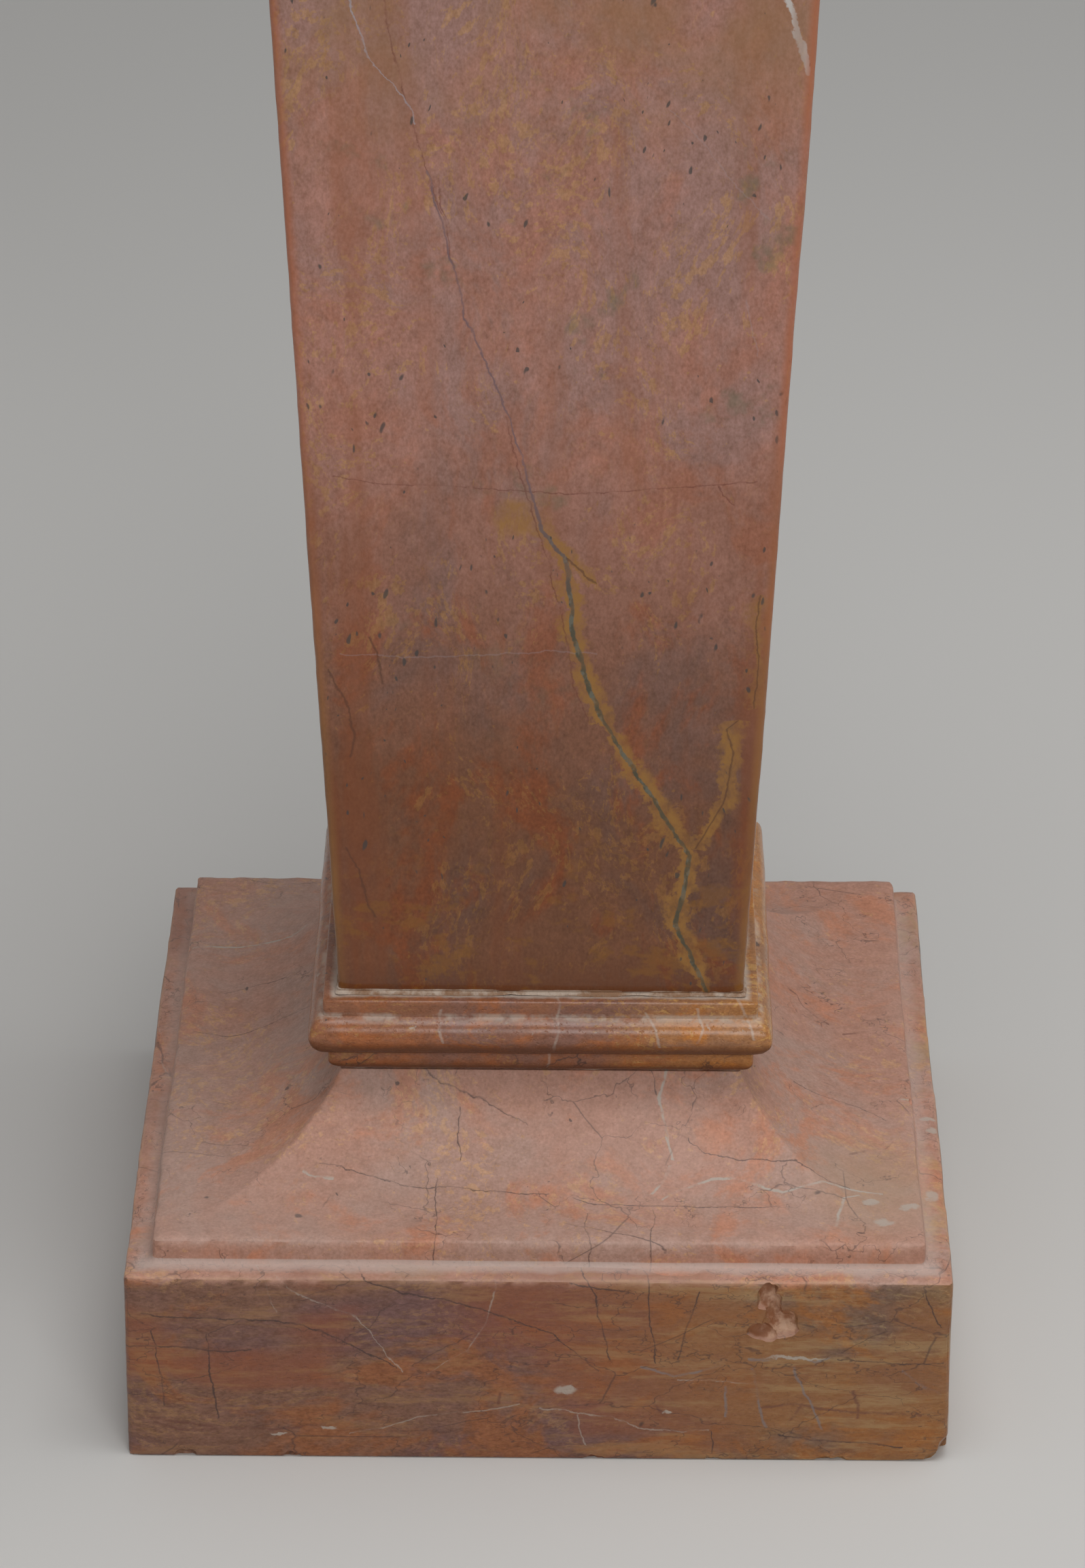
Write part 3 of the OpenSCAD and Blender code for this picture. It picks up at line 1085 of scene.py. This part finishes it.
def makeShaftMarble():
    material, shader, coords = newMaterial("shaftMarble")
    look = shaftLook
    low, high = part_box("shaft")
    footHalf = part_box("foot_moulding")[1][0] - moulding["torusOut"]
    spread = (high[0] - footHalf) / (high[2] - low[2])
    x, y, z = split(coords)
    halfHere = plus(footHalf, times(minus(z, low[2]), spread))
    plan = use("squarePlan", Vector=coords)
    drift = cloud(coords, 9.0, 3.0, 0.6)
    # redder and darker towards the foot: painted shade low on the shaft and painted sheen higher up, in
    # place of its reflections
    highShare = between(plus(z, times(minus(drift, 0.5), 0.22)), 0.33, 0.62)
    body = ground(stretched(coords, (1.15, 1.15, 0.75)), 1.0, mixed(highShare, look["low"], look["high"]),
                  between(highShare, 0.0, 1.0, 0.85, 0.42), 0.54, 0.62)
    colour = body["Color"]
    # soft upright streaks, strongest towards the upright edges
    streaks = cloud(stretched(coords, (38, 38, 3.2)), 1.0, 3.0, 0.6)
    nearEdge = between(minus(halfHere, absolute(plan["Along"])), 0.0, 0.05, 1.0, 0.45)
    colour = blend(times(between(streaks, 0.50, 0.66, 0.0, 0.6), nearEdge), colour,
                   blend(highShare, look["low"][2], look["streak"]))
    # a darker band just above the collar: painted shade, standing in for the collar's reflection in the
    # polished shaft
    footShadeBand = between(plus(z, times(streaks, 0.05)), 0.256, 0.284, 0.60, 0.0)
    footShadeBand = times(footShadeBand, between(body["Mottle"], 0.36, 0.58, 0.25, 1.0))
    colour = blend(footShadeBand, colour, look["foot"])
    ochre = cloud(stretched(coords, (1, 1, 1.6), (4, 2, 9)), 26.0, 4.0, 0.72)
    ochre = times(between(ochre, 0.53, 0.62), between(z, 0.26, 0.36, 0.55, 0.0))
    colour = blend(ochre, colour, look["footOchre"])
    brownTop = times(between(plus(z, times(drift, 0.12)), 0.76, 0.90),
                     between(cloud(stretched(coords, (1, 1, 1), (5, 5, 5)), 10.0, 3.0, 0.6), 0.42, 0.60))
    colour = blend(times(brownTop, 0.55), colour, look["topBrown"])
    green = between(cloud(stretched(coords, (1, 1, 1), (8, 3, 6)), 20.0, 4.0, 0.7), 0.60, 0.72)
    colour = blend(times(green, highShare, 0.5), colour, look["green"])
    # the veins run through the stone, slanting back from the front face
    depth = plus(y, halfHere)
    ragged = cloud(coords, 75.0, 4.0, 0.68)
    wobble = times(minus(ragged, 0.5), 0.0055)
    veinX = plus(x, times(depth, 0.36), wobble)
    veinZ = plus(minus(z, times(depth, 0.15)), wobble)
    mainWidth = between(z, 0.49, 0.56, 0.0008, 0.0001)
    main = climbing(veinZ, veinX, mainVein, mainWidth, 0.0008)
    upper = climbing(veinZ, veinX, upperVein, 0.0, 0.0008)
    branch = climbing(veinZ, veinX, sideBranch, 0.0001, 0.0007)
    edge = climbing(veinZ, veinX, edgeBranch, 0.0001, 0.0007)
    spur = drawVein(veinX, veinZ, sideSpur, 0.0003, 0.0008)
    lowVein = between(z, 0.50, 0.54, 1.0, 0.0)
    haloReach = times(between(ragged, 0.32, 0.66, 0.15, 1.0), 0.0115)
    haloMain = times(lowVein, between(main["Gap"], times(haloReach, 0.55), haloReach, 1.0, 0.0))
    haloBranch = between(branch["Gap"], times(haloReach, 0.4), haloReach, 0.95, 0.0)
    haloEdge = between(edge["Gap"], 0.0, haloReach, 0.85, 0.0)
    haloSpur = between(spur["Gap"], 0.001, times(haloReach, 0.8), 1.0, 0.0)
    blotch = oval(veinX, veinZ, (-0.014, 0.522), (0.016, 0.014), 0.5)
    halo = largest(haloMain, haloBranch, haloEdge, haloSpur, times(blotch, 0.8))
    colour = blend(times(halo, between(body["Mottle"], 0.35, 0.65, 0.40, 0.95)), colour, look["halo"])
    colour = blend(times(drawVeins(redLines, veinX, veinZ, 0.0, 0.0007),
                         between(ragged, 0.35, 0.6, 0.15, 0.65)), colour, look["red"])
    colour = blend(times(drawVeins(paleLines, veinX, veinZ, 0.0, 0.0007), 0.22), colour, look["veinPale"])
    colour = blend(times(drawVeins(brownLines, veinX, veinZ, 0.0001, 0.0009), 0.6), colour, look["brown"])
    core = blend(between(z, 0.44, 0.56), look["veinCore"], look["veinLilac"])
    core = blend(between(z, 0.71, 0.75), core, look["veinPale"])
    # bluish grains sit in the dark core
    grains = times(between(body["Mottle"], 0.50, 0.62), between(z, 0.5, 0.52, 0.5, 0.0))
    core = blend(grains, core, tone(122, 126, 116))
    paleMask = largest(main["Mask"], upper["Mask"])
    colour = blend(times(paleMask, between(ragged, 0.35, 0.6, 0.55, 0.95)), colour, core)
    thin = largest(branch["Mask"], edge["Mask"], spur["Mask"])
    colour = blend(times(thin, 0.6), colour, look["brown"])
    wedgeX = plus(x, times(depth, 0.36))
    wedgeWidth = times(between(ragged, 0.30, 0.70), between(z, 0.766, 0.800, 0.0006, 0.0036))
    white = climbing(z, wedgeX, wedge, wedgeWidth, 0.0010)
    colour = blend(times(white["Mask"], between(streaks, 0.40, 0.56, 0.35, 0.85)), colour, look["white"])
    # dark and green grains
    specks = use("specks", Vector=stretched(coords, (1.6, 1.6, 0.8)), Scale=105.0, Amount=0.75)["Mask"]
    colour = blend(times(specks, 0.75), colour, look["speck"])
    # the arrises take a warmer tone: partly rubbed wear, partly a painted highlight
    rubbedAndHighlit = times(between(plan["To Corner"], 0.0015, 0.007, 1.0, 0.0),
                   between(drift, 0.35, 0.6, 0.25, 0.8))
    colour = blend(rubbedAndHighlit, colour, blend(highShare, look["low"][3], look["arris"]))
    grain = use("surfaceGrain", Vector=coords, Pits=0.5, Scratches=0.35)
    roughness = plus(between(drift, 0.35, 0.7, 0.10, 0.20), times(minus(grain["Wear"], 0.5), 0.08),
                     times(paleMask, 0.25))
    finishShader(shader, colour, roughness, 0.40, grain["Height"], 0.00005)
    return material


shaftStone = buildShaft()
shaftStone.data.materials.append(makeShaftMarble())
print("the shaft is finished")


# the cap block
cap = {
    "slab": 0.048,
    "ledge": 0.008,
    "riser": 0.008,
    "margin": 0.006,
    "neckHalf": 0.149,
    "arris": 0.0014,
    "cove": 0.002,
    "corner": 0.0030,
    "cuts": 110,
}


def capOutline():
    low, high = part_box("cap_block")
    half, arris, cove = high[0], cap["arris"], cap["cove"]
    slabUnder = high[2] - cap["slab"]
    riserHalf = half - cap["ledge"]
    riserUnder = slabUnder - cap["riser"]
    sweepStart = riserHalf - cap["margin"]
    run, rise = sweepStart - cap["neckHalf"], riserUnder - low[2]
    sweepRadius = (run * run + rise * rise) / (2 * rise)
    sweepEnd = 180 - math.degrees(math.acos(run / sweepRadius))
    return trace((cap["neckHalf"], low[2]),
                 ((sweepStart, riserUnder - sweepRadius), sweepRadius, sweepEnd, 90, 14),
                 ((riserHalf - arris, riserUnder), 0.003),
                 ((riserHalf - arris, riserUnder + arris), arris, -90, 0, 3),
                 ((riserHalf, slabUnder - cove), 0.003),
                 ((riserHalf + cove, slabUnder - cove), cove, 180, 90, 3),
                 ((half - arris, slabUnder), 0.003),
                 ((half - arris, slabUnder + arris), arris, -90, 0, 3),
                 ((half, high[2] - arris), 0.004),
                 ((half - arris, high[2] - arris), arris, 0, 90, 3),
                 ((half * 0.25, high[2]), 0.012))


def buildCap():
    piece = squareStone("capStone", capOutline(), cap["corner"], cap["cuts"])
    low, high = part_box("cap_block")

    def nearEdge(co):
        return 1 - min(fromCorner(co) / 0.006, max(abs(outward(co) - high[0]), high[2] - co.z) / 0.004)

    wear(piece, lambda co: min((co.z - low[2]) / 0.006, (high[2] - co.z) / 0.004), nearEdge,
         (0.09, 0.0012), (0.012, 0.0020))
    finishStone(piece, "cap_block", 32)
    return piece


def makeCapMarble():
    material, shader, coords = newMaterial("capMarble")
    look = plinthLook
    bedded = stretched(coords, (0.6, 0.6, 1.7), (0.31, 0.12, 0.4))
    upward = between(facing(coords), 0.05, 0.55)
    # upward faces take the paler top colours: partly dusty stone, partly painted light from above
    colour = ground(bedded, 1.0, mixed(upward, look["front"], look["top"]), 0.8, 0.6, 0.7)["Color"]
    darkNet = use("crackNet", Vector=bedded, Scale=16.0, Width=0.018, Amount=0.42, Seed=(6, 3, 8))["Mask"]
    paleNet = use("crackNet", Vector=bedded, Scale=7.0, Width=0.014, Amount=0.50, Seed=(2, 9, 4))["Mask"]
    specks = use("specks", Vector=coords, Scale=90.0, Amount=0.14)["Mask"]
    colour = blend(times(paleNet, 0.6), colour, look["pale"])
    colour = blend(times(largest(darkNet, specks), 0.7), colour, look["dark"])
    film = times(upward, between(cloud(coords, 8.0, 5.0, 0.6), 0.35, 0.7, 0.02, 0.25))
    colour = blend(film, colour, look["dust"])
    grain = use("surfaceGrain", Vector=coords, Pits=1.0, Scratches=0.3)
    roughness = plus(between(upward, 0.0, 1.0, 0.34, 0.44), times(minus(grain["Wear"], 0.5), 0.2))
    finishShader(shader, colour, roughness, 0.38, grain["Height"], 0.00016)
    return material


capStone = buildCap()
capStone.data.materials.append(makeCapMarble())
print("the cap is finished")


# the plaster joints
plaster = {
    "corner": 0.002,
    "cuts": 60,
    "climb": 0.0010,        # how far squeezed plaster runs up the stone above
    "lip": 0.0016,          # how far it stands out there
    "tuck": 0.003,          # how far its top edge goes into the stone
}


def buildJoint(name, node, spread, seed):
    low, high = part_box(node)
    half = high[0]
    middle = (low[2] + high[2]) / 2
    rows = [(half + spread * 0.3, low[2]), (half + spread, low[2] + 0.0004), (half + spread * 0.9, middle),
            (half + spread * 0.4, high[2]), (half + plaster["lip"], high[2] + plaster["climb"]),
            (half - plaster["tuck"], high[2] + plaster["climb"])]
    piece = squareStone(name, rows, plaster["corner"], plaster["cuts"])
    weightGroup(piece, "edge", lambda co: (outward(co) - half + 0.001) / 0.002)
    roughen(piece, "squeezed" + str(seed), 0.010 + 0.002 * seed, 0.0034, group="edge", depth=3)
    finishStone(piece, node, 60)
    return piece


def makePlaster():
    material, shader, coords = newMaterial("oldPlaster")
    grime = cloud(coords, 60.0, 5.0, 0.7)
    colour = blend(between(grime, 0.40, 0.62), tone(194, 176, 160), tone(150, 116, 90))
    crumbs = cloud(coords, 500.0, 3.0, 0.7)
    colour = blend(between(crumbs, 0.55, 0.68, 0.0, 0.35), colour, tone(126, 112, 100))
    finishShader(shader, colour, between(grime, 0.3, 0.7, 0.75, 0.95), 0.3, plus(crumbs, grime), 0.0006)
    return material


oldPlaster = makePlaster()
for seed, (name, node, spread) in enumerate([("plinthPlaster", "plinth_joint", 0.0004),
                                             ("footPlaster", "foot_joint", 0.0028),
                                             ("headPlaster", "head_joint", 0.0010),
                                             ("capPlaster", "cap_joint", 0.0002)], 1):
    buildJoint(name, node, spread, seed).data.materials.append(oldPlaster)
print("the plaster joints are finished")
